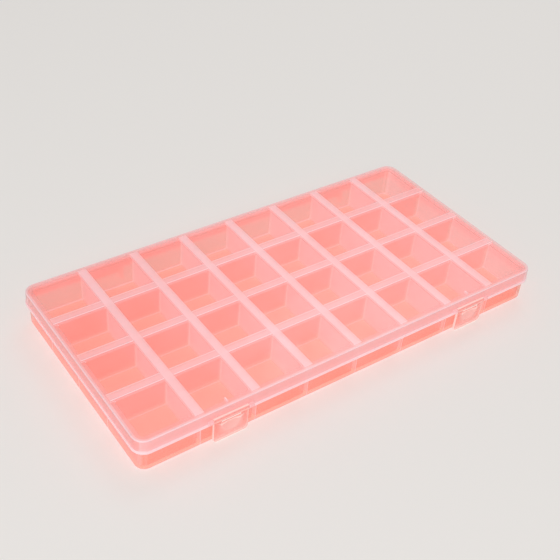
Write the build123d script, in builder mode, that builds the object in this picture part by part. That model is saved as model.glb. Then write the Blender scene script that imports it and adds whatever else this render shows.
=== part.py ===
# Compartment storage box: a frosted tray of thirty-two cells under a hinged lid with two latches.
# Millimetres, +Z up, +X along the length, -Y towards the latches.
# The origin is the middle of the tray's underside, which is the face the box rests on.
from build123d import *
from math import sqrt
import os

# Cells and tray
columns = 8
rows = 4
cell_length = 32.6
cell_width = 32.1
divider_thickness = 1.2
divider_top_radius = 0.4
wall_thickness = 1.4
floor_thickness = 1.2
tray_corner_radius = 5.6
bottom_edge_radius = 0.9

# Lid
box_height = 22.5
panel_thickness = 1.2
skirt_thickness = 1.2
skirt_depth = 8.85
top_edge_radius = 0.8
bead_height = 1.8
bead_projection = 0.5
bead_edge_radius = 0.35
rib_band_width = 5.4
rib_thickness = 0.9
rib_depth = 0.8
rib_corner_radius = 2.0

# Clearances between the bodies
lid_side_gap = 0.3
lid_seat_gap = 0.3
hinge_gap = 0.4
latch_gap = 0.3
running_clearance = 0.06

# Back hinges: a bar between two ears on the tray, and a clip on the lid that snaps over it
hinge_bar_radius = 1.0
hinge_clip_wall = 1.14
hinge_clip_length = 16.0
hinge_clip_mouth = 1.6
hinge_ear_radius = 2.0
hinge_ear_thickness = 2.0

# Front latches: a flap that swings on a pin across a notch in the lid's skirt
latch_column = 2
latch_width = 21.2
latch_thickness = 1.4
latch_corner_radius = 2.5
latch_ground_gap = 0.4
latch_pin_radius = 0.7
latch_knuckle_radius = 1.4
latch_knuckle_mouth = 1.1
latch_pivot_rise = 2.35
latch_pivot_inset = 0.8
latch_ear_width = 3.0
latch_wall_gap = 1.15
slot_bar = 0.9
slot_width = 11.5
slot_height = 2.0
slot_play = 0.2
catch_side_play = 0.5
catch_nose = 0.6
dish_radius = 5.75
dish_depth = 0.7

# Places worked out from the sizes above
column_pitch = cell_length + divider_thickness
row_pitch = cell_width + divider_thickness
inner_length = columns * cell_length + (columns - 1) * divider_thickness
inner_width = rows * cell_width + (rows - 1) * divider_thickness
tray_length = inner_length + 2 * wall_thickness
tray_width = inner_width + 2 * wall_thickness
skirt_inner_length = tray_length + 2 * lid_side_gap
skirt_inner_width = tray_width + 2 * lid_side_gap
lid_length = skirt_inner_length + 2 * skirt_thickness
lid_width = skirt_inner_width + 2 * skirt_thickness
skirt_inner_radius = tray_corner_radius + lid_side_gap
lid_corner_radius = skirt_inner_radius + skirt_thickness
panel_bottom = box_height - panel_thickness
skirt_bottom = box_height - skirt_depth
tray_height = panel_bottom - lid_seat_gap
divider_height = tray_height - floor_thickness
wall_face = tray_width / 2
skirt_face = lid_width / 2
bead_face = skirt_face + bead_projection
bead_length = lid_length + 2 * bead_projection
bead_width = lid_width + 2 * bead_projection
rib_ring_length = column_pitch - rib_band_width + 2 * rib_thickness
rib_ring_width = row_pitch - rib_band_width + 2 * rib_thickness

hinge_clip_radius = hinge_bar_radius + running_clearance + hinge_clip_wall
hinge_axis_y = bead_face + hinge_clip_radius / 2
hinge_axis_z = skirt_bottom - hinge_gap - hinge_ear_radius
hinge_bar_length = hinge_clip_length + 2 * latch_gap

fitting_x = (columns / 2 - latch_column + 0.5) * column_pitch
fitting_places = {"left": -fitting_x, "right": fitting_x}

flap_inner_face = wall_face + latch_wall_gap
flap_outer_face = flap_inner_face + latch_thickness
pivot_y = flap_inner_face + latch_pivot_inset
pivot_z = skirt_bottom + latch_pivot_rise
notch_width = latch_width + 2 * latch_gap
notch_top = pivot_z + latch_knuckle_radius + latch_gap
notch_reach = pivot_y + latch_knuckle_radius + latch_gap - skirt_inner_width / 2
ear_span = notch_width + 2 * latch_ear_width
ear_reach = pivot_y - skirt_face + skirt_thickness / 2
slot_top = pivot_z - latch_knuckle_radius - slot_bar
slot_bottom = slot_top - slot_height
catch_width = slot_width - 2 * catch_side_play

column_places = [(i - columns / 2) * column_pitch for i in range(1, columns)]
row_places = [(rows / 2 - i) * row_pitch for i in range(1, rows)]

os.makedirs("parts", exist_ok=True)


def save(builder, name):
    """Label a finished piece and write it under its own name."""
    builder.part.label = name
    export_step(builder.part, f"parts/{name}.step")


# Tray shell: the floor and the four outer walls, one open box with rounded corners
with BuildPart() as tray_shell:
    with BuildSketch():
        RectangleRounded(tray_length, tray_width, tray_corner_radius)
    extrude(amount=tray_height)
    fillet(tray_shell.faces().sort_by(Axis.Z)[0].edges(), bottom_edge_radius)
    with BuildSketch(Plane.XY.offset(floor_thickness)):
        RectangleRounded(inner_length, inner_width, tray_corner_radius - wall_thickness)
    extrude(amount=divider_height, mode=Mode.SUBTRACT)
save(tray_shell, "tray_shell")


# Row dividers: long slats that run the length of the tray, numbered from the back
def row_divider(y):
    with BuildPart() as slat:
        with Locations((0, y, floor_thickness)):
            Box(inner_length, divider_thickness, divider_height, align=(Align.CENTER, Align.CENTER, Align.MIN))
        top = slat.faces().sort_by(Axis.Z)[-1]
        fillet(top.edges().filter_by(Axis.X), divider_top_radius)
    return slat


for number, y in enumerate(row_places, start=1):
    save(row_divider(y), f"row_divider_{number}")


# Column dividers: each is a line of short slats between the row dividers, numbered from the left
def column_divider(x):
    slat_places = [(x, (rows / 2 - i - 0.5) * row_pitch, floor_thickness) for i in range(rows)]
    with BuildPart() as slats:
        with Locations(*slat_places):
            Box(divider_thickness, cell_width, divider_height, align=(Align.CENTER, Align.CENTER, Align.MIN))
        tops = slats.faces().filter_by(Axis.Z).group_by(Axis.Z)[-1]
        fillet(tops.edges().filter_by(Axis.Y), divider_top_radius)
    return slats


for number, x in enumerate(column_places, start=1):
    save(column_divider(x), f"column_divider_{number}")


# Lid: a flat panel with a skirt that slips over the tray, a thick bead along the skirt's lower edge,
# and at each latch a notch between two ears
with BuildPart() as lid:
    with BuildSketch(Plane.XY.offset(skirt_bottom)):
        RectangleRounded(lid_length, lid_width, lid_corner_radius)
    extrude(amount=skirt_depth)
    fillet(lid.faces().sort_by(Axis.Z)[-1].edges(), top_edge_radius)
    with BuildSketch(Plane.XY.offset(skirt_bottom)):
        RectangleRounded(bead_length, bead_width, lid_corner_radius + bead_projection)
    extrude(amount=bead_height)
    bead_flank = lid.faces().filter_by(Axis.Y).sort_by(Axis.Y)[0]
    fillet(bead_flank.edges().filter_by(Axis.X), bead_edge_radius)
    for x in fitting_places.values():
        with BuildSketch(Plane.YZ.offset(x - ear_span / 2)):
            with Locations((-pivot_y, pivot_z)):
                Circle(latch_knuckle_radius)
                Rectangle(ear_reach, 2 * latch_knuckle_radius, align=(Align.MIN, Align.CENTER))
        extrude(amount=ear_span)
    with BuildSketch(Plane.XY.offset(skirt_bottom)):
        RectangleRounded(skirt_inner_length, skirt_inner_width, skirt_inner_radius)
    extrude(amount=panel_bottom - skirt_bottom, mode=Mode.SUBTRACT)
    for x in fitting_places.values():
        with Locations((x, -skirt_inner_width / 2, skirt_bottom)):
            notch_align = (Align.CENTER, Align.CENTER, Align.MIN)
            Box(notch_width, 2 * notch_reach, notch_top - skirt_bottom, align=notch_align, mode=Mode.SUBTRACT)
save(lid, "lid")


# Lid ribs: a low ring under the lid inside each cell, so that two ribs run beside every divider
with BuildPart() as lid_ribs:
    with BuildSketch(Plane.XY.offset(panel_bottom)):
        with GridLocations(column_pitch, row_pitch, columns, rows):
            RectangleRounded(rib_ring_length, rib_ring_width, rib_corner_radius)
        with GridLocations(column_pitch, row_pitch, columns, rows):
            hole_length = rib_ring_length - 2 * rib_thickness
            hole_width = rib_ring_width - 2 * rib_thickness
            RectangleRounded(hole_length, hole_width, rib_corner_radius - rib_thickness, mode=Mode.SUBTRACT)
    extrude(amount=-rib_depth)
save(lid_ribs, "lid_ribs")


# Tray hinges: two ears on the back wall with a round bar between them
def tray_hinge(x):
    low_corner = hinge_axis_z - (hinge_axis_y - wall_face) - hinge_ear_radius * sqrt(2)
    tangent = hinge_ear_radius * sqrt(0.5)
    with BuildPart() as hinge:
        for start in (-hinge_bar_length / 2 - hinge_ear_thickness, hinge_bar_length / 2):
            with BuildSketch(Plane.YZ.offset(x + start)):
                with BuildLine():
                    Polyline(
                        (hinge_axis_y, hinge_axis_z + hinge_ear_radius),
                        (wall_face, hinge_axis_z + hinge_ear_radius),
                        (wall_face, low_corner),
                        (hinge_axis_y + tangent, hinge_axis_z - tangent),
                        (hinge_axis_y, hinge_axis_z),
                        close=True,
                    )
                make_face()
                with Locations((hinge_axis_y, hinge_axis_z)):
                    Circle(hinge_ear_radius)
            extrude(amount=hinge_ear_thickness)
        with BuildSketch(Plane.YZ.offset(x - hinge_bar_length / 2)):
            with Locations((hinge_axis_y, hinge_axis_z)):
                Circle(hinge_bar_radius)
        extrude(amount=hinge_bar_length)
    return hinge


# Lid hinges: a clip with a downward mouth round the bar, on an arm that comes down from the bead
def lid_hinge(x):
    bore_radius = hinge_bar_radius + running_clearance
    arm_width = bead_face - (hinge_axis_y - hinge_clip_radius)
    with BuildPart() as hinge:
        with BuildSketch(Plane.YZ.offset(x - hinge_clip_length / 2)):
            with Locations((hinge_axis_y, hinge_axis_z)):
                Circle(hinge_clip_radius)
            with Locations((bead_face - arm_width, hinge_axis_z)):
                Rectangle(arm_width, skirt_bottom - hinge_axis_z, align=(Align.MIN, Align.MIN))
            with Locations((hinge_axis_y, hinge_axis_z)):
                Circle(bore_radius, mode=Mode.SUBTRACT)
                Rectangle(
                    hinge_clip_mouth,
                    hinge_clip_radius + running_clearance,
                    align=(Align.CENTER, Align.MAX),
                    mode=Mode.SUBTRACT,
                )
        extrude(amount=hinge_clip_length)
    return hinge


# Latch pins: a round pin across each notch, moulded between the ears
def latch_pin(x):
    with BuildPart() as pin:
        with BuildSketch(Plane.YZ.offset(x - notch_width / 2)):
            with Locations((-pivot_y, pivot_z)):
                Circle(latch_pin_radius)
        extrude(amount=notch_width)
    return pin


# Latches: a flap with round lower corners, a slot over the catch, a dished thumb hold and a knuckle
def latch(x):
    flap_height = pivot_z - latch_ground_gap
    bore_radius = latch_pin_radius + running_clearance
    dish_sphere = (dish_radius**2 + dish_depth**2) / (2 * dish_depth)
    with BuildPart() as flap:
        with BuildSketch(Plane.XZ.offset(flap_inner_face)) as face:
            with Locations((x, pivot_z)):
                Rectangle(latch_width, flap_height, align=(Align.CENTER, Align.MAX))
            fillet(face.vertices().group_by(Axis.Z)[0], latch_corner_radius)
        extrude(amount=latch_thickness)
        with BuildSketch(Plane.YZ.offset(x - latch_width / 2)):
            with Locations((-pivot_y, pivot_z)):
                Circle(latch_knuckle_radius)
        extrude(amount=latch_width)
        with BuildSketch(Plane.YZ.offset(x - latch_width / 2)):
            with Locations((-pivot_y, pivot_z)):
                Circle(bore_radius)
                Rectangle(2 * latch_knuckle_radius, latch_knuckle_mouth, align=(Align.MIN, Align.CENTER))
        extrude(amount=latch_width, mode=Mode.SUBTRACT)
        with BuildSketch(Plane.XZ.offset(flap_inner_face)):
            with Locations((x, slot_bottom)):
                Rectangle(slot_width, slot_height, align=(Align.CENTER, Align.MIN))
        extrude(amount=latch_thickness, mode=Mode.SUBTRACT)
        with Locations((x, dish_depth - dish_sphere - flap_outer_face, slot_bottom)):
            Sphere(dish_sphere, arc_size2=0, mode=Mode.SUBTRACT)
    return flap


# Catches: a ridge on the front wall that shows in each slot, flat underneath and sloped on top
def catch(x):
    reach = latch_wall_gap - latch_gap
    with BuildPart() as ridge:
        with BuildSketch(Plane.YZ.offset(x - catch_width / 2)):
            with BuildLine():
                Polyline(
                    (-wall_face, slot_bottom + slot_play),
                    (-wall_face - reach, slot_bottom + slot_play),
                    (-wall_face - reach, slot_bottom + slot_play + catch_nose),
                    (-wall_face, slot_top - slot_play),
                    close=True,
                )
            make_face()
        extrude(amount=catch_width)
    return ridge


fittings = {
    "tray_hinge": tray_hinge,
    "lid_hinge": lid_hinge,
    "latch_pin": latch_pin,
    "latch": latch,
    "catch": catch,
}
for name, make in fittings.items():
    for side, x in fitting_places.items():
        save(make(x), f"{name}_{side}")
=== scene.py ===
import bpy
import bmesh
from math import cos, pi, radians, sin, sqrt
from mathutils import Matrix, Vector


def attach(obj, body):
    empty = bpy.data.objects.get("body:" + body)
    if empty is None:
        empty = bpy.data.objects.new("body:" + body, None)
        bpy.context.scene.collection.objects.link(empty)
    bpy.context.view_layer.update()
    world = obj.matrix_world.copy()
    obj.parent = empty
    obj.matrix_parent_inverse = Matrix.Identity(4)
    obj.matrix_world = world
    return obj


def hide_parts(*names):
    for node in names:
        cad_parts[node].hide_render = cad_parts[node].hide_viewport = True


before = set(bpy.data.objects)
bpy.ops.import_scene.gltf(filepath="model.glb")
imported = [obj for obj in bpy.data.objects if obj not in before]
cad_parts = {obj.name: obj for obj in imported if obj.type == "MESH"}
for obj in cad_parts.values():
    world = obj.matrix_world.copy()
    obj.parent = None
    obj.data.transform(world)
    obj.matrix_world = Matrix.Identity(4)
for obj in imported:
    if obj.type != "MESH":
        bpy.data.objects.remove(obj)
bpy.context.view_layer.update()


# Tray: one moulding in frosted polypropylene, a floor, four outer walls and the dividers of 32 cells.
# The cells have drafted walls, a rounded foot and eased tops, as they leave the mould. The plastic is
# milky, paler where it is deep or edge-on, and lets warm light through where it is a thin sheet. The
# walls that face along the length are painted paler as painted light, and the middle of each small cell
# corner is painted milky as a painted highlight.
mm = 0.001
columns = 8
rows = 4
cell_length = 32.6
cell_width = 32.1
divider_thickness = 1.2
wall_thickness = 1.4
floor_thickness = 1.2
tray_height = 21.0
tray_corner_radius = 5.6
tray_bottom_radius = 0.9
tray_rim_radius = 0.3
divider_top_radius = 0.4
cell_draft = 0.12
cell_foot_radius = 0.5
cell_corner_radius = 1.4
cell_arc_steps = 5
wall_arc_steps = 8
round_over = (0, pi / 8, pi / 4, 3 * pi / 8)

column_pitch = cell_length + divider_thickness
row_pitch = cell_width + divider_thickness
tray_length = columns * column_pitch - divider_thickness + 2 * wall_thickness
tray_width = rows * row_pitch - divider_thickness + 2 * wall_thickness

least_corner = 0.15
# a band in the middle of each rounded corner, between these two depths, is painted milky as a painted
# highlight
corner_highlight_from = 0.1
corner_highlight_to = 0.5
cut_reach = 0.001
merge_reach = 0.002
crease_angle = radians(40)


def new_shape():
    """An empty mesh with a layer that says how milky each place is, from 0 for a sheet to 1 for solid."""
    shape = bmesh.new()
    shape.verts.layers.float.new("milk")
    return shape


def rounded_loop(shape, centre, size, corners, height, steps):
    """A level face with four rounded corners, given as front left, front right, back left, back right."""
    quad = bmesh.ops.create_grid(shape, x_segments=1, y_segments=1, size=0.5)["verts"]
    place = Matrix.Translation((*centre, height)) @ Matrix.Diagonal((*size, 1, 1))
    bmesh.ops.transform(shape, matrix=place, verts=quad)
    for radius in sorted(set(corners)):
        turning = [v for v, corner in zip(quad, corners) if corner == radius]
        arc = bmesh.ops.bevel(shape, geom=turning, offset=radius, offset_type="OFFSET", segments=steps,
                              profile=0.5, affect="VERTICES", clamp_overlap=False, material=-1)["verts"]
    return arc[0].link_faces[0]


def loft(shape, centre, size, corners, path, steps, start_face=False, end_face=False, corner_highlight_milk=0.0):
    """Walls from one rounded loop to the next. Each stop on the path is inset, height and milkiness.

    A fourth number is the milkiness of the walls that face along the length, which paints them paler or
    clearer than the walls that face across, as painted light and shade. The middle of each small corner is
    painted at least as milky as corner_highlight_milk says, a painted highlight down the corner. Gives back
    both ends, each as its face or its edges."""
    milk_layer = shape.verts.layers.float["milk"]
    loops = []
    for inset, height, milk, *end_milk in path:
        loop_size = (size[0] - 2 * inset, size[1] - 2 * inset)
        loop_corners = [max(corner - inset, least_corner) for corner in corners]
        face = rounded_loop(shape, centre, loop_size, loop_corners, height, steps)
        for v in face.verts:
            from_sides = [span / 2 - abs(v.co[axis] - centre[axis]) for axis, span in enumerate(loop_size)]
            own_milk = end_milk[0] if end_milk and from_sides[0] < from_sides[1] else milk
            # painted highlight: the middle of a small corner is painted at least as milky as the corner's own
            # milk
            on_corner_highlight = corner_highlight_from < min(from_sides) < corner_highlight_to
            v[milk_layer] = max(own_milk, corner_highlight_milk) if on_corner_highlight else own_milk
        loops.append(list(face.edges))
        bmesh.ops.delete(shape, geom=[face], context="FACES_ONLY")
        if len(loops) > 1:
            bmesh.ops.bridge_loops(shape, edges=loops[-2] + loops[-1])
    start = bmesh.ops.edgeloop_fill(shape, edges=loops[0])["faces"][0] if start_face else loops[0]
    end = bmesh.ops.edgeloop_fill(shape, edges=loops[-1])["faces"][0] if end_face else loops[-1]
    return start, end


def thin_inside(shape, face, width, milk):
    """Gives a flat face a narrow border, inside which it is as milky as its own sheet."""
    bmesh.ops.inset_individual(shape, faces=[face], thickness=width, use_even_offset=True)
    for v in face.verts:
        v[shape.verts.layers.float["milk"]] = milk


def cut_across(shape, faces, place, across):
    """Cuts some of the faces along a plane, and gives back the edges and corners on it."""
    around = dict.fromkeys(part for face in faces for part in (*face.verts, *face.edges))
    return bmesh.ops.bisect_plane(shape, geom=[*around, *faces], dist=cut_reach, plane_co=place,
                                  plane_no=across)["geom_cut"]


def mould(name, shape, body, material, nodes):
    """Turns a shape in millimetres into a finished piece that stands for some CAD nodes."""
    bmesh.ops.remove_doubles(shape, verts=shape.verts, dist=merge_reach)
    bmesh.ops.recalc_face_normals(shape, faces=shape.faces)
    bmesh.ops.scale(shape, vec=(mm, mm, mm), verts=shape.verts)
    mesh = bpy.data.meshes.new(name)
    shape.to_mesh(mesh)
    shape.free()
    for face in mesh.polygons:
        face.use_smooth = True
    mesh.set_sharp_from_angle(angle=crease_angle)
    mesh.materials.append(material)
    piece = bpy.data.objects.new(name, mesh)
    bpy.context.scene.collection.objects.link(piece)
    normals = piece.modifiers.new("flat faces stay flat", "WEIGHTED_NORMAL")
    normals.keep_sharp = True
    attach(piece, body)
    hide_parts(*nodes)


def add(tree, kind, inputs, **settings):
    """Adds a node to a tree. An input is a number, a colour or another node's output."""
    made = tree.nodes.new(kind)
    for key, value in settings.items():
        setattr(made, key, value)
    for label, value in inputs.items():
        if isinstance(value, bpy.types.NodeSocket):
            tree.links.new(value, made.inputs[label])
        else:
            made.inputs[label].default_value = value
    return made


def sums(tree, operation, *values, clamp=False):
    """One step of arithmetic on outputs or numbers."""
    inputs = dict(enumerate(values))
    return add(tree, "ShaderNodeMath", inputs, operation=operation, use_clamp=clamp).outputs[0]


def ranged(tree, value, low, high, top=1.0):
    """Runs from 0 to top while the value goes from low to high."""
    inputs = {"Value": value, "From Min": low, "From Max": high, "To Max": top}
    return add(tree, "ShaderNodeMapRange", inputs).outputs["Result"]


def blend(tree, factor, first, second):
    """A colour between two. A Mix node keeps its sockets for colours behind those for numbers."""
    return add(tree, "ShaderNodeMix", {0: factor, 6: first, 7: second}, data_type="RGBA").outputs[2]


def lay_over(tree, factor, under, over):
    """One shader over another, as far as the factor says."""
    return add(tree, "ShaderNodeMixShader", {0: factor, 1: under, 2: over}).outputs[0]


def new_group(name, inputs, outputs):
    """An empty node group with named number inputs and outputs, and the two ends inside it."""
    group = bpy.data.node_groups.new(name, "ShaderNodeTree")
    for label, value in inputs.items():
        socket = group.interface.new_socket(label, in_out="INPUT", socket_type="NodeSocketFloat")
        socket.default_value = value
    for label in outputs:
        group.interface.new_socket(label, in_out="OUTPUT", socket_type="NodeSocketFloat")
    return group, group.nodes.new("NodeGroupInput").outputs, group.nodes.new("NodeGroupOutput").inputs


def place_on_part(tree, scale=(1, 1, 1), turn=0.0):
    """The part's own coordinates in metres, stretched or turned about the upright axis."""
    own = tree.nodes.new("ShaderNodeTexCoord").outputs["Object"]
    inputs = {"Vector": own, "Scale": scale, "Rotation": (0, 0, turn)}
    return add(tree, "ShaderNodeMapping", inputs).outputs["Vector"]


def noise(tree, place, scale, detail, roughness, distortion=0.0):
    """Cloudy noise at a place, as a number from 0 to 1."""
    inputs = {"Vector": place, "Scale": scale, "Detail": detail, "Roughness": roughness,
              "Distortion": distortion}
    return add(tree, "ShaderNodeTexNoise", inputs).outputs["Fac"]


# melt flow: slow clouds and faint drawn-out streaks of more or less milk in the sheet
melt_flow, flow_in, flow_out = new_group("melt_flow", {"Size": 30.0, "Streaks": 0.5}, ["Cloud"])
streak_stretch = (0.35, 2.6, 1.0)
streak_turn = 0.3
wide = noise(melt_flow, place_on_part(melt_flow), flow_in["Size"], 2.0, 0.5)
drawn_place = place_on_part(melt_flow, streak_stretch, streak_turn)
drawn = noise(melt_flow, drawn_place, flow_in["Size"], 4.0, 0.6, distortion=0.4)
clouds = sums(melt_flow, "SUBTRACT", wide, 0.5)
streaks = sums(melt_flow, "MULTIPLY", sums(melt_flow, "SUBTRACT", drawn, 0.5), flow_in["Streaks"])
melt_flow.links.new(sums(melt_flow, "ADD", clouds, streaks), flow_out["Cloud"])

# satin grain: the fine spark-eroded finish of the mould, with slow patches of more or less sheen
satin_grain, grain_in, grain_out = new_group("satin_grain", {"Size": 2600.0}, ["Height", "Sheen"])
patch_scale = 90.0
fine = noise(satin_grain, place_on_part(satin_grain), grain_in["Size"], 3.0, 0.65)
patches = noise(satin_grain, place_on_part(satin_grain), patch_scale, 3.0, 0.5)
satin_grain.links.new(fine, grain_out["Height"])
satin_grain.links.new(sums(satin_grain, "SUBTRACT", patches, 0.5), grain_out["Sheen"])

# handling wear: hairline scratches in two directions, and stress whitening that breaks up along the edges
handling_wear, wear_in, wear_out = new_group("handling_wear", {"Edge": 0.0, "Amount": 0.5}, ["Scuff"])
scratch_ways = (((14.0, 420.0, 60.0), 0.5), ((420.0, 16.0, 60.0), -0.35))
scratch_shows = (0.66, 0.78)
scratch_depth = 0.6
whitening_scale = 260.0
whitening_shows = (0.45, 0.7)
scratches = []
for stretch, turn in scratch_ways:
    hair = noise(handling_wear, place_on_part(handling_wear, stretch, turn), 1.0, 2.0, 0.7, distortion=0.2)
    scratches.append(ranged(handling_wear, hair, *scratch_shows))
broken = noise(handling_wear, place_on_part(handling_wear), whitening_scale, 4.0, 0.6)
whitened = ranged(handling_wear, broken, *whitening_shows)
edge_rub = sums(handling_wear, "MULTIPLY", whitened, wear_in["Edge"])
hairlines = sums(handling_wear, "MULTIPLY", sums(handling_wear, "MAXIMUM", *scratches), scratch_depth)
worn = sums(handling_wear, "MULTIPLY", sums(handling_wear, "MAXIMUM", hairlines, edge_rub), wear_in["Amount"])
handling_wear.links.new(worn, wear_out["Scuff"])

plastic_ior = 1.49
cloud_milk = 0.10
cloud_cast = 0.5
scuff_milk = 0.12
sheen_roughness = 0.25
scuff_roughness = 0.15
grain_height = 0.0002
pale_from = 0.4
shadow_thinning = 0.93
shadow_tint = (1.0, 0.985, 0.98, 1.0)
glow_share = 0.5
solid_glow_loss = 0.32


def frosted_plastic(name, milk, pale, deep, clear, solid, roughness, wear,
                    grain_depth=0.1, strips=None, polished=False):
    """Milky plastic: a pale body colour laid over warm light that passes through the sheet.

    milk is the body colour of a thin sheet, pale that of a deep or rubbed place and of a painted highlight,
    deep the tint of the light that passes one face, clear and solid how much of the body a thin sheet and a
    deep place show.
    strips is a group whose places are dull. A polished skin mirrors the room at a low angle, and its
    deep places throw more of their light back than they let through."""
    material = bpy.data.materials.new(name)
    material.use_nodes = True
    tree = material.node_tree
    tree.nodes.clear()

    milky = add(tree, "ShaderNodeAttribute", {}, attribute_name="milk").outputs["Fac"]
    flow = add(tree, "ShaderNodeGroup", {"Size": 34.0, "Streaks": 0.6}, node_tree=melt_flow).outputs
    grain = add(tree, "ShaderNodeGroup", {"Size": 2600.0}, node_tree=satin_grain).outputs
    worn_places = add(tree, "ShaderNodeGroup", {"Edge": milky, "Amount": wear}, node_tree=handling_wear)
    scuff = worn_places.outputs["Scuff"]
    if strips:
        dull = add(tree, "ShaderNodeGroup", {}, node_tree=strips).outputs["Strip"]
        milky = sums(tree, "MAXIMUM", milky, dull)

    # how much of the body shows: most of it lets lamp light by, which so reaches the floors of the cells
    depth = sums(tree, "MULTIPLY_ADD", milky, solid - clear, clear)
    clouded = sums(tree, "MULTIPLY_ADD", flow["Cloud"], cloud_milk, depth)
    body = sums(tree, "MULTIPLY_ADD", scuff, scuff_milk, clouded, clamp=True)
    shadow_ray = tree.nodes.new("ShaderNodeLightPath").outputs["Is Shadow Ray"]
    thinning = sums(tree, "MULTIPLY_ADD", shadow_ray, -shadow_thinning, 1.0)
    shown_body = sums(tree, "MULTIPLY", body, thinning)
    tint = blend(tree, shadow_ray, deep, shadow_tint)
    passing = add(tree, "ShaderNodeBsdfTransparent", {"Color": tint}).outputs[0]

    # the body's colour and finish
    edge = ranged(tree, milky, pale_from, 1.0)
    palest = sums(tree, "MAXIMUM", scuff, edge)
    cast = sums(tree, "MULTIPLY_ADD", flow["Cloud"], cloud_cast, palest, clamp=True)
    colour = blend(tree, cast, milk, pale)
    gloss = sums(tree, "MULTIPLY_ADD", grain["Sheen"], sheen_roughness, roughness)
    satin = sums(tree, "MULTIPLY_ADD", scuff, scuff_roughness, gloss, clamp=True)
    bump_inputs = {"Height": grain["Height"], "Strength": grain_depth, "Distance": grain_height}
    bump = add(tree, "ShaderNodeBump", bump_inputs).outputs["Normal"]
    surface = add(tree, "ShaderNodeBsdfPrincipled",
                  {"Base Color": colour, "Roughness": satin, "IOR": plastic_ior, "Specular IOR Level": 1.0,
                   "Normal": bump}).outputs[0]
    glow = add(tree, "ShaderNodeBsdfTranslucent", {"Color": colour, "Normal": bump}).outputs[0]
    share = sums(tree, "MULTIPLY_ADD", edge, -solid_glow_loss, glow_share) if polished else glow_share
    shown = lay_over(tree, shown_body, passing, lay_over(tree, share, surface, glow))
    if polished:
        skin = add(tree, "ShaderNodeBsdfGlossy", {"Roughness": satin, "Normal": bump}).outputs[0]
        mirrored = add(tree, "ShaderNodeFresnel", {"IOR": plastic_ior, "Normal": bump}).outputs[0]
        inner = tree.nodes.new("ShaderNodeNewGeometry").outputs["Backfacing"]
        unseen = sums(tree, "MAXIMUM", shadow_ray, inner)
        seen = sums(tree, "MULTIPLY", mirrored, sums(tree, "SUBTRACT", 1.0, unseen))
        on_sheet = sums(tree, "MULTIPLY", seen, sums(tree, "SUBTRACT", 1.0, edge))
        shown = lay_over(tree, on_sheet, shown, skin)
    out = tree.nodes.new("ShaderNodeOutputMaterial")
    tree.links.new(shown, out.inputs["Surface"])
    return material


thin_pink = (1.0, 0.57, 0.55, 1.0)
pale_pink = (1.0, 0.83, 0.88, 1.0)
warm_light = (1.0, 0.85, 0.78, 1.0)
tray_plastic = frosted_plastic("frosted_tray", thin_pink, pale_pink, warm_light, clear=0.12, solid=0.82,
                               roughness=0.42, wear=0.1, grain_depth=0.04)

# one path serves all cells: the eased top, the drafted wall, the rounded foot, the floor's edge
divider_top_milk = 1.0
foot_top = floor_thickness + cell_foot_radius
wall_insets = (0.0, 0.02, cell_draft * 0.7, cell_draft)
wall_heights = (20.2, 18.0, 8.0, foot_top + 0.3)
long_wall_milk = (0.62, 0.56, 0.54, 0.50)
# the cell walls that face along the length are painted fully milky, painted light that makes them paler than
# the walls that face across
end_wall_painted_light_milk = (1.0, 1.0, 1.0, 1.0)
foot_milk = (0.8, 0.78)
floor_edge_milk = (0.6, 0.3)
# the middle of each small cell corner is painted milky, a painted highlight down the corner
cell_corner_highlight_milk = 0.75
floor_border = 0.25
floor_milk = 0.12
cell_path = [(-divider_top_radius * (1 - sin(t)), tray_height - divider_top_radius * (1 - cos(t)),
              divider_top_milk) for t in (0, pi / 6, pi / 3, pi / 2)]
cell_path += zip(wall_insets, wall_heights, long_wall_milk, end_wall_painted_light_milk)
cell_path += [(cell_draft + cell_foot_radius * (1 - cos(t)), foot_top - cell_foot_radius * sin(t), *foot_milk)
              for t in round_over]
cell_path += [(cell_draft + cell_foot_radius, floor_thickness, *floor_edge_milk)]

tray = new_shape()
inner_corner = tray_corner_radius - wall_thickness
end_cells = ((0, 0), (columns - 1, 0), (0, rows - 1), (columns - 1, rows - 1))
tray_rims = []
for column in range(columns):
    for row in range(rows):
        cell_x = (column - (columns - 1) / 2) * column_pitch
        cell_y = (row - (rows - 1) / 2) * row_pitch
        cell_corners = [inner_corner if (column, row) == end else cell_corner_radius for end in end_cells]
        rim, floor = loft(tray, (cell_x, cell_y), (cell_length, cell_width), cell_corners, cell_path,
                          cell_arc_steps, end_face=True, corner_highlight_milk=cell_corner_highlight_milk)
        thin_inside(tray, floor, floor_border, floor_milk)
        tray_rims += rim

outer_rim_milk = 0.9
outer_heights = (19.0, 3.0, tray_bottom_radius + 0.3)
outer_long_milk = (0.3, 0.1, 0.2)
# the outer end walls are painted milkier than the front and back walls, painted light on the ends
outer_end_painted_light_milk = (0.5, 0.4, 0.4)
bottom_edge_milk = 1.0
underside_edge_milk = 0.5
underside_border = 0.3
underside_milk = 0.1
outside_path = [(tray_rim_radius * (1 - sin(t)), tray_height - tray_rim_radius * (1 - cos(t)), outer_rim_milk)
                for t in (0, pi / 4, pi / 2)]
outside_path += zip((0, 0, 0), outer_heights, outer_long_milk, outer_end_painted_light_milk)
outside_path += [(tray_bottom_radius * (1 - cos(t)), tray_bottom_radius * (1 - sin(t)), bottom_edge_milk)
                 for t in round_over]
outside_path += [(tray_bottom_radius, 0, underside_edge_milk)]
outside_rim, underside = loft(tray, (0, 0), (tray_length, tray_width), [tray_corner_radius] * 4, outside_path,
                              wall_arc_steps, end_face=True)
thin_inside(tray, underside, underside_border, underside_milk)
bmesh.ops.triangle_fill(tray, use_beauty=True, use_dissolve=False, edges=tray_rims + outside_rim,
                        normal=(0, 0, 1))

near = 0.01
junction_half_width = 0.6
junction_milk = 1.0


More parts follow.
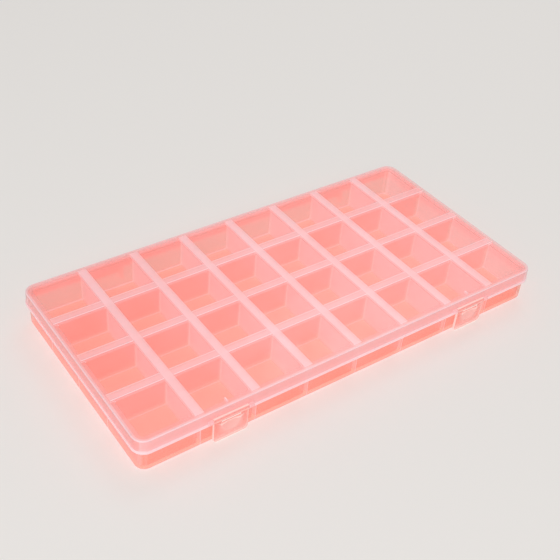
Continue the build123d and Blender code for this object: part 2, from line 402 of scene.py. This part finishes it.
def mark_junction(shape, axis, place):
    """A dense line up both outer walls that run along an axis, where a divider meets them end-on."""
    across = Vector((1, 0, 0)) if axis == 0 else Vector((0, 1, 0))
    outermost = (tray_width if axis == 0 else tray_length) / 2 - near
    for offset in (-junction_half_width, junction_half_width, 0):
        walls = [face for face in shape.faces if abs(face.calc_center_median()[1 - axis]) > outermost
                 and tray_bottom_radius < face.calc_center_median().z < tray_height - tray_rim_radius]
        line = cut_across(shape, walls, across * (place + offset), across)
    for part in line:
        if isinstance(part, bmesh.types.BMVert):
            part[shape.verts.layers.float["milk"]] = junction_milk


for number in range(1, columns):
    mark_junction(tray, 0, (number - columns / 2) * column_pitch)
for number in range(1, rows):
    mark_junction(tray, 1, (number - rows / 2) * row_pitch)

tray_nodes = ["tray_shell"] + [f"row_divider_{n}" for n in range(1, rows)]
tray_nodes += [f"column_divider_{n}" for n in range(1, columns)]
mould("tray_moulding", tray, "tray", tray_plastic, tray_nodes)


# Catches and hinge ears: small features moulded on the tray's front and back walls, which keep their CAD
# shape. The catches are about as clear as the wall. The hinge ears are thick and so paler.
stud_pink = (1.0, 0.58, 0.54, 1.0)
thick_pink = (1.0, 0.80, 0.80, 1.0)
stud_plastic = frosted_plastic("frosted_stud", stud_pink, pale_pink, warm_light, clear=0.35, solid=0.8,
                               roughness=0.38, wear=0.3)
thick_plastic = frosted_plastic("frosted_thick_piece", thick_pink, pale_pink, warm_light, clear=0.7,
                                solid=0.8, roughness=0.38, wear=0.3)


def dress(plastic, *names):
    """Gives CAD nodes their plastic."""
    for name in names:
        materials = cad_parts[name].data.materials
        materials.clear()
        materials.append(plastic)


dress(stud_plastic, "catch_left", "catch_right")
dress(thick_plastic, "tray_hinge_left", "tray_hinge_right")


# Lid: one moulding that slips over the tray, a flat panel with a skirt, a thick bead along the skirt's
# lower edge, a low rib each side of every divider, and a notch with two ears for each latch.
box_height = 22.5
panel_thickness = 1.2
skirt_thickness = 1.2
skirt_depth = 8.85
lid_side_gap = 0.3
top_edge_radius = 0.8
bead_height = 1.8
bead_projection = 0.5
bead_edge_radius = 0.3
bead_ease = 0.09
panel_corner_radius = 0.5
rib_ring = (30.2, 29.7)
rib_ring_corner = 2.0
rib_thickness = 0.9
rib_depth = 0.8
rib_edge = 0.2
rib_ease = rib_edge * 0.3
notch_width = 21.8
notch_top = 17.7
latch_x = 84.5

skirt_inner = (tray_length + 2 * lid_side_gap, tray_width + 2 * lid_side_gap)
lid_size = (skirt_inner[0] + 2 * skirt_thickness, skirt_inner[1] + 2 * skirt_thickness)
lid_corners = [tray_corner_radius + lid_side_gap + skirt_thickness] * 4
panel_bottom = box_height - panel_thickness
rib_bottom = panel_bottom - rib_depth
skirt_bottom = box_height - skirt_depth
bead_top = skirt_bottom + bead_height

# divider strips: the part of the panel between the ribs, which the mould leaves dull
divider_strips, _, strips_out = new_group("divider_strips", {}, ["Strip"])
strip_flat = 2.5
strip_fade = 3.0
strip_end_fade = 0.3
column_strip_milk = 0.78
row_strip_milk = 0.64
# two lines along each row strip, over the ribs, are painted milky as painted highlights, the front one
# brighter
rib_highlight_lines = ((-2.35, 1.0), (2.35, 0.85))
rib_highlight_flat = 0.2
rib_highlight_fade = 0.5
margin_milk = 0.32

own_place = add(divider_strips, "ShaderNodeSeparateXYZ", {"Vector": place_on_part(divider_strips)}).outputs
strip_parts = []
for along, pitch, count, other, other_limit, strip_milk in (
    (0, column_pitch, columns, 1, rows * row_pitch / 2, column_strip_milk),
    (1, row_pitch, rows, 0, columns * column_pitch / 2, row_strip_milk),
):
    cells_out = sums(divider_strips, "DIVIDE", own_place[along], pitch * mm)
    nearest = sums(divider_strips, "ROUND", cells_out)
    past = sums(divider_strips, "SUBTRACT", cells_out, nearest)
    away = sums(divider_strips, "ABSOLUTE", past)
    band = ranged(divider_strips, away, strip_fade / pitch, strip_flat / pitch, strip_milk)
    # painted highlights along the ribs of the row strips
    if along == 1:
        for highlight_place, highlight_milk in rib_highlight_lines:
            from_highlight = sums(divider_strips, "SUBTRACT", past, highlight_place / pitch)
            off_highlight = sums(divider_strips, "ABSOLUTE", from_highlight)
            line = ranged(divider_strips, off_highlight, rib_highlight_fade / pitch, rib_highlight_flat / pitch, highlight_milk)
            between = sums(divider_strips, "SUBTRACT", 1.0, strip_parts[0])
            band = sums(divider_strips, "MAXIMUM", band, sums(divider_strips, "MULTIPLY", line, between))
    inside = sums(divider_strips, "LESS_THAN", sums(divider_strips, "ABSOLUTE", nearest), count / 2 - 0.5)
    reach = sums(divider_strips, "ABSOLUTE", own_place[other])
    gone_at = (other_limit + strip_end_fade) * mm
    full_at = (other_limit - strip_end_fade) * mm
    cut_off = sums(divider_strips, "MULTIPLY", inside, ranged(divider_strips, reach, gone_at, full_at))
    strip_parts.append(sums(divider_strips, "MULTIPLY", band, cut_off))

# the margin outside the outer ribs is a little dull too, with the ribs' rounded corners
past_ribs = []
for along, count, pitch in ((0, columns, column_pitch), (1, rows, row_pitch)):
    straight = (count - 1) * pitch / 2 + rib_ring[along] / 2 - rib_ring_corner
    reach = sums(divider_strips, "ABSOLUTE", own_place[along])
    beyond = sums(divider_strips, "SUBTRACT", reach, straight * mm)
    past_ribs.append(sums(divider_strips, "MAXIMUM", beyond, 0.0))
squares = [sums(divider_strips, "MULTIPLY", beyond, beyond) for beyond in past_ribs]
distance = sums(divider_strips, "SQRT", sums(divider_strips, "ADD", *squares))
margin_from = (rib_ring_corner - 0.2) * mm
margin_full = (rib_ring_corner + 0.4) * mm
margin = ranged(divider_strips, distance, margin_from, margin_full, margin_milk)
strip = sums(divider_strips, "MAXIMUM", *strip_parts)
divider_strips.links.new(sums(divider_strips, "MAXIMUM", strip, margin), strips_out["Strip"])

lid_pink = (1.0, 0.60, 0.60, 1.0)
lid_pale = (1.0, 0.81, 0.86, 1.0)
lid_light = (1.0, 0.94, 0.92, 1.0)
lid_plastic = frosted_plastic("frosted_lid", lid_pink, lid_pale, lid_light, clear=0.11, solid=0.88,
                              roughness=0.38, wear=0.35, strips=divider_strips, polished=True)

# the outside, from the panel's edge down to the bead
# the round of the panel's edge is painted solid along its middle, a painted highlight
lid_edge_highlight_milk = (0.75, 1.0, 1.0, 0.7)
skirt_heights = (box_height - top_edge_radius, notch_top, bead_top + 0.2)
skirt_long_milk = (0.68, 0.68, 0.75)
# the skirt's ends are painted clearer than its front and back, a painted shade on the sides
skirt_end_painted_shade_milk = (0.12, 0.08, 0.3)
bead_face = -bead_projection
lid = new_shape()
lid_path = [(top_edge_radius * (1 - sin(t)), box_height - top_edge_radius * (1 - cos(t)), milk)
            for t, milk in zip(round_over, lid_edge_highlight_milk)]
lid_path += zip((0, 0, 0), skirt_heights, skirt_long_milk, skirt_end_painted_shade_milk)
lid_path += [(bead_face + bead_edge_radius, bead_top, 0.9),
             (bead_face + bead_ease, bead_top - bead_ease, 1.0),
             (bead_face, bead_top - bead_edge_radius, 1.0), (bead_face, skirt_bottom + bead_edge_radius, 1.0),
             (bead_face + bead_ease, skirt_bottom + bead_ease, 1.0),
             (bead_face + bead_edge_radius, skirt_bottom, 1.0)]
panel_top = loft(lid, (0, 0), lid_size, lid_corners, lid_path, wall_arc_steps, start_face=True)[0]
for border_width, inner_milk in ((0.9, 0.55), (0.6, 0.05)):
    thin_inside(lid, panel_top, border_width, inner_milk)

# the inside, with as many stops up the skirt as outside, so that the notches' ends close evenly
skirt_lip = 0.2
inner_skirt_milk = 0.6
inner_stops = (0.2, 0.5, 0.9, bead_height - 0.6, bead_height - 0.2, bead_height + 0.2)
inner_corner_milk = 0.2
lid_inside = [(skirt_thickness - skirt_lip, skirt_bottom, 0.9)]
lid_inside += [(skirt_thickness, skirt_bottom + stop, inner_skirt_milk) for stop in inner_stops]
lid_inside += [(skirt_thickness, notch_top, 0.3)]
lid_inside += [(skirt_thickness + panel_corner_radius * (1 - cos(t)),
                panel_bottom - panel_corner_radius + panel_corner_radius * sin(t), inner_corner_milk)
               for t in (0, pi / 6, pi / 3)]
lid_inside += [(skirt_thickness + panel_corner_radius, panel_bottom, 0.0)]
panel_rim = loft(lid, (0, 0), lid_size, lid_corners, lid_inside, wall_arc_steps)[1]

# the ribs hang from the panel as one ring over each cell
rib_path = [(0, panel_bottom, 0.0), (0, rib_bottom + rib_edge, 0.2), (rib_ease, rib_bottom + rib_ease, 0.3),
            (rib_edge, rib_bottom, 0.3), (rib_thickness - rib_edge, rib_bottom, 0.3),
            (rib_thickness - rib_ease, rib_bottom + rib_ease, 0.3),
            (rib_thickness, rib_bottom + rib_edge, 0.2), (rib_thickness, panel_bottom, 0.0)]
rib_rims = []
for column in range(columns):
    for row in range(rows):
        ring_place = ((column - (columns - 1) / 2) * column_pitch, (row - (rows - 1) / 2) * row_pitch)
        rib_rims += loft(lid, ring_place, rib_ring, [rib_ring_corner] * 4, rib_path, cell_arc_steps,
                         end_face=True)[0]
bmesh.ops.triangle_fill(lid, use_beauty=True, use_dissolve=False, edges=rib_rims + panel_rim,
                        normal=(0, 0, -1))


front_zone = 0.5


def in_front_skirt(face, top):
    """Whether a face is part of the lid's front skirt below a height."""
    centre = face.calc_center_median()
    return centre.y < front_zone - skirt_inner[1] / 2 and centre.z < top


for side in (-1, 1):
    for end in (-1, 1):
        skirt_faces = [face for face in lid.faces if in_front_skirt(face, box_height - top_edge_radius)]
        cut_across(lid, skirt_faces, (side * latch_x + end * notch_width / 2, 0, 0), (1, 0, 0))
    notch = [face for face in lid.faces if in_front_skirt(face, notch_top)
             and abs(face.calc_center_median().x - side * latch_x) < notch_width / 2]
    bmesh.ops.delete(lid, geom=notch, context="FACES")
bmesh.ops.bridge_loops(lid, edges=[edge for edge in lid.edges if edge.is_boundary])

# the ears are round-nosed blocks each side of a notch, lofted along the pin's line and turned upright
pin_y = -69.35
pin_z = 16.0
knuckle_radius = 1.4
ear_width = 3.0
ear_root_y = -68.3
ear_root_radius = 0.5
ear_arc_steps = 6
ear_clearance = 0.02
ear_inner_edge = 0.25
ear_inner_ease = 0.07
ear_outer_edge = 0.4
ear_outer_ease = 0.1
arc_spare = 0.02
along_x = Matrix(((0, 0, 1), (1, 0, 0), (0, 1, 0))).to_4x4()
nose_y = pin_y - knuckle_radius
nose_radius = knuckle_radius - arc_spare
ear_size = (ear_root_y - nose_y, 2 * knuckle_radius)
ear_place = ((ear_root_y + nose_y) / 2, pin_z)
for side in (-1, 1):
    for end in (-1, 1):
        others = set(lid.verts)
        inner_x = side * latch_x + end * (notch_width / 2 + ear_clearance)
        outer_x = inner_x + end * ear_width
        ear_path = [(ear_inner_edge, inner_x, 1.0), (ear_inner_ease, inner_x + end * ear_inner_ease, 0.9),
                    (0, inner_x + end * ear_inner_edge, 0.6), (0, outer_x - end * ear_outer_edge, 0.6),
                    (ear_outer_ease, outer_x - end * ear_outer_ease, 0.8), (ear_outer_edge, outer_x, 0.8)]
        loft(lid, ear_place, ear_size, [nose_radius, ear_root_radius] * 2, ear_path, ear_arc_steps,
             start_face=True, end_face=True)
        bmesh.ops.transform(lid, matrix=along_x, verts=[v for v in lid.verts if v not in others])

# a short nib under the panel behind the middle of each latch
nib_size = (0.8, 2.9)
nib_y = -64.35
nib_shift = -0.1
nib_cover = 0.1
nib_corner = 0.35
nib_tip_inset = 0.15
nib_tip_height = 0.25
nib_arc_steps = 3
nib_path = [(0, box_height - nib_cover, 1.0), (0, rib_bottom + nib_tip_height, 1.0),
            (nib_tip_inset, rib_bottom, 1.0)]
for side in (-1, 1):
    loft(lid, (side * latch_x + nib_shift, nib_y), nib_size, [nib_corner] * 4, nib_path, nib_arc_steps,
         start_face=True, end_face=True)

mould("lid_moulding", lid, "lid", lid_plastic, ["lid", "lid_ribs"])


# Lid hinges and latch pins: open clips that snap over the tray's hinge bars, and a pin across each notch
# that carries a latch. They are moulded with the lid, thick and so pale, and keep their CAD shape.
dress(thick_plastic, "lid_hinge_left", "lid_hinge_right", "latch_pin_left", "latch_pin_right")


# Latches: each is one thin moulded flap with a knuckle that snaps on the pin and a slot that goes over
# the catch. Below the slot the face is dished for a thumb. The edges show solid. The slot's lips and
# the bar above it, the dish and the knuckle's front top are painted pale as painted highlights, and the
# back of the slot is painted clear as painted shade.
flap_back = 68.55
flap_front = 69.95
flap_width = 21.2
flap_foot = 0.4
flap_head = 14.9
flap_foot_radius = 2.5
flap_head_radius = 0.3
flap_arc_steps = 6
back_edge = 0.2
back_ease = 0.06
front_edge = 0.25
front_ease = 0.07
edge_line = 0.5
slot_width = 11.5
slot_bottom = 11.7
slot_top = 13.7
slot_line = 0.4
beside_slot = 0.5
dish_depth = 0.7
dish_steps = 8
pin_bore = 0.76
knuckle_mouth = radians(92)
barrel_steps = 26
latch_pink = (1.0, 0.57, 0.54, 1.0)
# the latch's pale is near white, partly to paint the highlights on its lips, dish and knuckle
latch_highlight_pale = (1.0, 0.91, 0.88, 1.0)
latch_plastic = frosted_plastic("frosted_latch", latch_pink, latch_highlight_pale, lid_light, clear=0.22, solid=1.0,
                                roughness=0.30, wear=0.4, polished=True)
sheet_milk = 0.15
# the dish is painted milky, a painted highlight
dish_highlight_milk = 0.7
# the back of the slot is painted clear and so darker, a painted shade in the slot
slot_back_shade_milk = 0.1
knuckle_milk = 0.35
knuckle_lip_milk = 0.9
# the knuckle is painted pale towards its front top, a painted highlight
knuckle_highlight_lean = Vector((0, 0.34, 0.94))
knuckle_highlight_start = 0.62
facing_front = Matrix(((1, 0, 0), (0, 0, -1), (0, 1, 0))).to_4x4()


def chain(shape, points, milk, closed=False):
    """A line of edges through a few points, marked with its milkiness."""
    corners = [shape.verts.new(point) for point in points]
    for v in corners:
        v[shape.verts.layers.float["milk"]] = milk
    pairs = zip(corners, corners[1:] + corners[:1] if closed else corners[1:])
    return corners + [shape.edges.new(pair) for pair in pairs]


def latch(side):
    """A flap with its dish, slot and knuckle, on the left (-1) or right (1) half of the front."""
    flap = new_shape()
    milk_layer = flap.verts.layers.float["milk"]
    middle = side * latch_x
    half_slot = slot_width / 2
    left = middle - half_slot
    right = middle + half_slot

    # the plate, drawn flat with its front face up, from the back face to the front face
    plate_path = [(back_edge, flap_back, 0.3), (back_ease, flap_back + back_ease, 0.7),
                  (0, flap_back + back_edge, 1.0), (0, flap_front - front_edge, 1.0),
                  (front_ease, flap_front - front_ease, 1.0), (front_edge, flap_front, 0.6),
                  (edge_line, flap_front, sheet_milk)]
    plate_corners = [flap_foot_radius, flap_foot_radius, flap_head_radius, flap_head_radius]
    loft(flap, (middle, (flap_head + flap_foot) / 2), (flap_width, flap_head - flap_foot), plate_corners,
         plate_path, flap_arc_steps)

    # the dish: an arc of a large sphere, spun half a turn below the slot, painted milky as a painted
    # highlight
    sphere = (half_slot**2 + dish_depth**2) / (2 * dish_depth)
    hollow = []
    for step in range(dish_steps + 1):
        out = half_slot * (1 - step / dish_steps)
        level = flap_front - dish_depth + sphere - sqrt(sphere**2 - out**2)
        hollow.append((middle + out, slot_bottom, level))
    bmesh.ops.spin(flap, geom=chain(flap, hollow, dish_highlight_milk), cent=(middle, slot_bottom, 0), axis=(0, 0, 1),
                   angle=-pi, steps=2 * dish_steps, use_merge=False, use_duplicate=False)

    # the slot: its upper three sides in front, and its whole outline behind
    outline = ((left, slot_bottom), (left, slot_top), (right, slot_top), (right, slot_bottom))
    # the slot's front lips are painted solid, a painted highlight
    chain(flap, [(*point, flap_front) for point in outline], 1.0)
    # the slot's outline behind is painted clear, a painted shade in the slot
    chain(flap, [(*point, flap_back) for point in outline], slot_back_shade_milk, closed=True)
    bmesh.ops.remove_doubles(flap, verts=flap.verts, dist=merge_reach)

    # both faces are filled between the plate's rim and the holes, and the holes' walls are bridged
    def on_level(edge, height):
        return all(abs(v.co.z - height) < near for v in edge.verts)

    def on_dish_lip(edge):
        return all(abs(v.co.y - slot_bottom) < near and abs(v.co.x - middle) < half_slot + near
                   for v in edge.verts)

    loose = [edge for edge in flap.edges if edge.is_boundary or edge.is_wire]
    # the dish's lip under the slot is painted solid, a painted highlight
    for edge in loose:
        if edge.is_boundary and on_dish_lip(edge):
            for v in edge.verts:
                v[milk_layer] = 1.0
    front_edges = [edge for edge in loose if on_level(edge, flap_front)]
    back_edges = [edge for edge in loose if on_level(edge, flap_back)]
    bmesh.ops.triangle_fill(flap, use_beauty=True, use_dissolve=False, edges=front_edges, normal=(0, 0, 1))
    bmesh.ops.triangle_fill(flap, use_beauty=True, use_dissolve=False, edges=back_edges, normal=(0, 0, -1))
    bmesh.ops.bridge_loops(flap, edges=[edge for edge in flap.edges if edge.is_boundary])

    # the bar above the slot is painted solid, a painted highlight along the slot's upper lip
    for end_x in (left - slot_line, left, right, right + slot_line):
        upper = [face for face in flap.faces if face.calc_center_median().z > flap_front - near
                 and face.calc_center_median().y > slot_bottom]
        cut_across(flap, upper, (end_x, 0, 0), (1, 0, 0))
    for v in flap.verts:
        from_middle = abs(v.co.x - middle)
        if v.co.z > flap_front - near and v.co.y > slot_top - near and from_middle < half_slot + near:
            v[milk_layer] = 1.0
        elif v.co.z > flap_front - near and v.co.y > slot_top and abs(from_middle - half_slot) < beside_slot:
            v[milk_layer] = sheet_milk
    bmesh.ops.transform(flap, matrix=facing_front, verts=flap.verts)

    # the knuckle: a ring section spun round the pin with its mouth towards the tray, drawn out to the width
    plate_faces = set(flap.faces)
    plate_verts = set(flap.verts)
    start = Vector((middle - flap_width / 2, pin_y, pin_z))
    turn = Matrix.Rotation(knuckle_mouth / 2, 3, "X")
    section = [start + turn @ Vector((0, out, 0)) for out in (pin_bore, knuckle_radius)]
    bmesh.ops.spin(flap, geom=chain(flap, section, knuckle_lip_milk), cent=start, axis=(1, 0, 0),
                   angle=2 * pi - knuckle_mouth, steps=barrel_steps, use_merge=False, use_duplicate=False)
    ring = [face for face in flap.faces if face not in plate_faces]
    drawn_out = bmesh.ops.extrude_face_region(flap, geom=ring)["geom"]
    bmesh.ops.translate(flap, vec=(flap_width, 0, 0),
                        verts=[part for part in drawn_out if isinstance(part, bmesh.types.BMVert)])
    # painted highlight: the knuckle grows milkier towards the side that faces up and to the front
    for v in flap.verts:
        if v not in plate_verts:
            crest = (knuckle_highlight_lean.y * (v.co.y - pin_y) + knuckle_highlight_lean.z * (v.co.z - pin_z)) / knuckle_radius
            rise = min(max((crest - knuckle_highlight_start) / (1 - knuckle_highlight_start), 0.0), 1.0)
            v[milk_layer] = knuckle_milk + (1 - knuckle_milk) * sqrt(rise)
    return flap


for side, x_side in (("left", -1), ("right", 1)):
    mould(f"latch_flap_{side}", latch(x_side), f"latch_{side}", latch_plastic, [f"latch_{side}"])


# Table and light: a plain pale sheet in a pale room, with two soft lamps, one from the front left
# and a weaker one from above the back right.
table_half = 3.0
table_drop = 0.0002
paper_colour = (0.86, 0.84, 0.82, 1.0)
paper_roughness = 0.9
paper = bpy.data.materials.new("pale_paper")
paper.use_nodes = True
paper_look = paper.node_tree.nodes["Principled BSDF"].inputs
paper_look["Base Color"].default_value = paper_colour
paper_look["Roughness"].default_value = paper_roughness
table = bmesh.new()
bmesh.ops.create_grid(table, x_segments=1, y_segments=1, size=table_half)
bmesh.ops.translate(table, vec=(0, 0, -table_drop), verts=table.verts)
table_mesh = bpy.data.meshes.new("table")
table.to_mesh(table_mesh)
table.free()
table_mesh.materials.append(paper)
table_top = bpy.data.objects.new("table", table_mesh)
bpy.context.scene.collection.objects.link(table_top)

room_colour = (1.0, 0.98, 0.96, 1.0)
room_light = 0.44
world = bpy.data.worlds.new("pale_room")
bpy.context.scene.world = world
world.use_nodes = True
world.node_tree.nodes["Background"].inputs["Color"].default_value = room_colour
world.node_tree.nodes["Background"].inputs["Strength"].default_value = room_light


def soft_lamp(name, place, width, power):
    """A square lamp at a place in metres, turned to the middle of the table."""
    data = bpy.data.lights.new(name, "AREA")
    data.shape = "SQUARE"
    data.size = width
    data.energy = power
    lamp = bpy.data.objects.new(name, data)
    lamp.location = place
    lamp.rotation_euler = (-Vector(place)).to_track_quat("-Z", "Y").to_euler()
    bpy.context.scene.collection.objects.link(lamp)


soft_lamp("window_front", (-1.44, -1.64, 1.6), width=1.0, power=36.0)
soft_lamp("window_back", (1.20, 1.00, 2.00), width=1.0, power=14.4)


# Camera: above the front left corner, looking across the lid, at the angle of the photograph. Its turn,
# rise, roll and distance come from the lines of the dividers and of the lid's edges.
camera_turn = radians(-38.32)
camera_rise = radians(38.72)
camera_roll = radians(5.23)
camera_distance = 0.5582
camera_target = Vector((-0.0037, 0.00303, 0.020))
sensor_width = 36.0
focal_length = 60.38
away_from_part = Vector((sin(camera_turn) * cos(camera_rise), -cos(camera_turn) * cos(camera_rise),
                         sin(camera_rise)))
level_right = Vector((cos(camera_turn), sin(camera_turn), 0))
upright = away_from_part.cross(level_right)
picture_right = cos(camera_roll) * level_right + sin(camera_roll) * upright
picture_up = cos(camera_roll) * upright - sin(camera_roll) * level_right
camera_data = bpy.data.cameras.new("camera")
camera_data.sensor_width = sensor_width
camera_data.lens = focal_length
camera = bpy.data.objects.new("camera", camera_data)
turned = Matrix((picture_right, picture_up, away_from_part)).transposed().to_4x4()
camera.matrix_world = Matrix.Translation(camera_target + away_from_part * camera_distance) @ turned
bpy.context.scene.collection.objects.link(camera)
bpy.context.scene.camera = camera

# enough passes for the light to cross a lid, several cells and their far walls
scene = bpy.context.scene
scene.view_settings.view_transform = "Standard"
scene.cycles.transparent_max_bounces = 64
scene.cycles.max_bounces = 6
scene.cycles.transmission_bounces = 4
